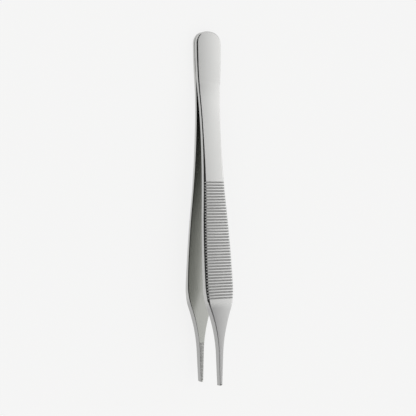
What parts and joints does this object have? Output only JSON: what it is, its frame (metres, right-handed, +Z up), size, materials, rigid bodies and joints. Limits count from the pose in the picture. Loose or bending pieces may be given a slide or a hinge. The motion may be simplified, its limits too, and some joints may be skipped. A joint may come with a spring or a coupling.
{
  "type": "thumb forceps",
  "caption": "Fine-tipped steel thumb forceps: two sprung arms welded at a rounded head, with a broad cross-ridged grip and slender jaws with fine cross teeth.",
  "frame": {"origin": "on the surface that the forceps lies on, under the middle of its bounding box", "axes": "+Y along the forceps from the tips to the welded head, +X across its width, +Z up, from the lower arm to the upper arm"},
  "size_m": [0.011, 0.1202, 0.0168],
  "materials": {
    "satin_steel": "satin"
  },
  "bodies": {
    "root": {"upper_arm": "satin_steel", "lower_arm": "satin_steel"}
  },
  "joints": []
}
